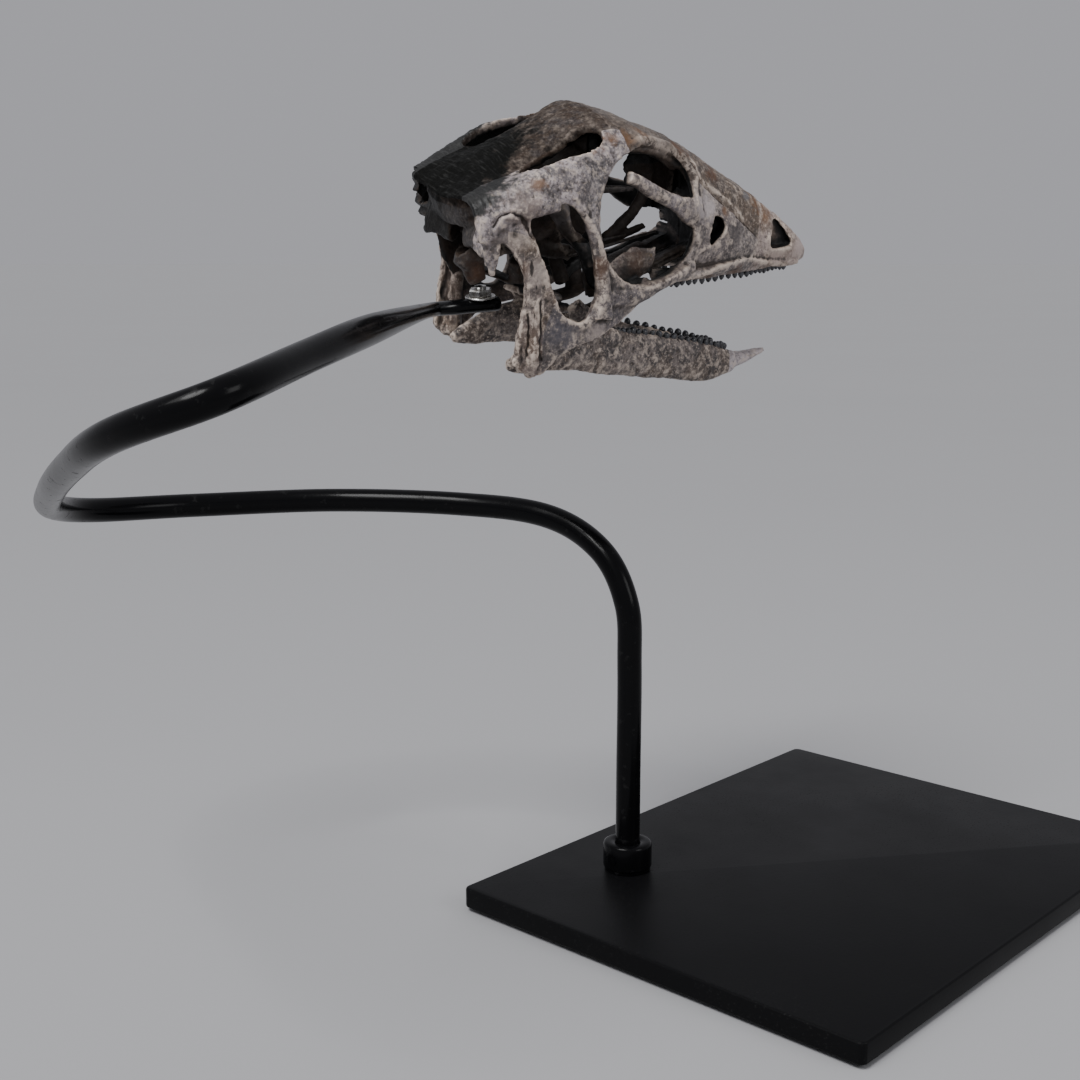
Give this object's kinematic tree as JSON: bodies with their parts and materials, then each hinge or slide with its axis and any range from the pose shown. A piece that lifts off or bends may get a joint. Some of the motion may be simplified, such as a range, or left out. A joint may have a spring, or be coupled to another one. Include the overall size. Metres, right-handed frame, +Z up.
{
  "type": "mounted dinosaur skull fossil",
  "caption": "Small beaked plant-eating dinosaur skull with open jaws, carried over a flat black base plate by a long bent round rod.",
  "frame": {"origin": "centre of the base plate's underside", "axes": "+X along the plate's long side, +Y along its short side, +Z up; the snout points towards +X and a little towards -Y and up"},
  "size_m": [0.4227, 0.3234, 0.3156],
  "materials": {
    "bone_brown": "brown fossil bone, satin lacquer",
    "bone_grey": "mottled grey fossil bone, satin lacquer",
    "bone_dark": "dark fossil bone, matt",
    "black_paint": "gloss black paint on steel",
    "bright_steel": "bright turned steel"
  },
  "bodies": {
    "root": {"nasal": "bone_brown", "frontal": "bone_brown", "parietal": "bone_brown", "quadrate_right": "bone_brown", "quadrate_left": "bone_brown", "predentary": "bone_brown", "dentary_right": "bone_brown", "dentary_left": "bone_brown", "angular_right": "bone_brown", "angular_left": "bone_brown", "premaxilla": "bone_grey", "maxilla_right": "bone_grey", "maxilla_left": "bone_grey", "jugal_right": "bone_grey", "jugal_left": "bone_grey", "postorbital_right": "bone_grey", "postorbital_left": "bone_grey", "palpebral_right": "bone_grey", "palpebral_left": "bone_grey", "brain_case": "bone_dark", "palate": "bone_dark", "stand_base": "black_paint", "stand_socket": "black_paint", "stand_rod_tip": "black_paint", "stand_rod_arm": "black_paint", "stand_rod_turn": "black_paint", "stand_rod_drop": "black_paint", "stand_rod_bend": "black_paint", "stand_rod_return": "black_paint", "stand_rod_elbow": "black_paint", "stand_rod_post": "black_paint", "stand_pin": "bright_steel", "stand_nut": "bright_steel"}
  },
  "joints": []
}
